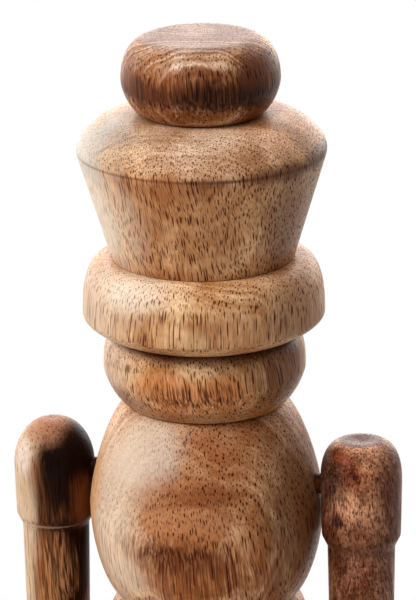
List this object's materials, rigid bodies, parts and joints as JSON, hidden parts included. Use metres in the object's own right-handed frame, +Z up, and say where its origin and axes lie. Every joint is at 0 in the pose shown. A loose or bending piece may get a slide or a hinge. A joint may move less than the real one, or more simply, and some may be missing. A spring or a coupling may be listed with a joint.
{
  "type": "toy soldier figure",
  "caption": "Turned wooden toy soldier with a pompom on a flared hat, a bead-stacked body, hinged arms and booted legs on a round stand.",
  "frame": {"origin": "centre of the underside of the felt pad, on the floor below the figure's own axis", "axes": "+Z up along the figure's axis, -Y the way the boots point, +X to the figure's own left"},
  "size_m": [0.0972, 0.092, 0.2507],
  "materials": {
    "golden_wood": "oiled, satin",
    "brown_wood": "oiled, satin",
    "dark_wood": "oiled, satin",
    "dowel_wood": "bare, sanded",
    "steel": "plain",
    "felt": "pressed felt"
  },
  "bodies": {
    "figure": {"pompom": "dark_wood", "pompom_dowel": "dowel_wood", "hat_crown": "golden_wood", "hat_brim": "golden_wood", "hat_dowel": "dowel_wood", "head": "brown_wood", "neck_dowel": "dowel_wood", "torso": "brown_wood", "waist_dowel": "dowel_wood", "hips": "brown_wood", "left_hip_dowel": "dowel_wood", "right_hip_dowel": "dowel_wood", "left_leg": "dark_wood", "right_leg": "dark_wood", "left_ankle_dowel": "dowel_wood", "right_ankle_dowel": "dowel_wood", "left_boot": "dark_wood", "right_boot": "dark_wood", "boot_screws": "steel", "stand": "golden_wood", "felt_pad": "felt", "left_shoulder_pin": "dark_wood", "right_shoulder_pin": "dark_wood"},
    "left_arm": {"left_arm": "dark_wood"},
    "right_arm": {"right_arm": "dark_wood"}
  },
  "joints": [
    {"name": "left_shoulder", "type": "hinge", "parent": "figure", "child": "left_arm", "pos_m": [0.0387, 0, 0.1405], "axis": [-1, 0, 0], "continuous": true},
    {"name": "right_shoulder", "type": "hinge", "parent": "figure", "child": "right_arm", "pos_m": [-0.0387, 0, 0.1405], "axis": [-1, 0, 0], "continuous": true}
  ]
}
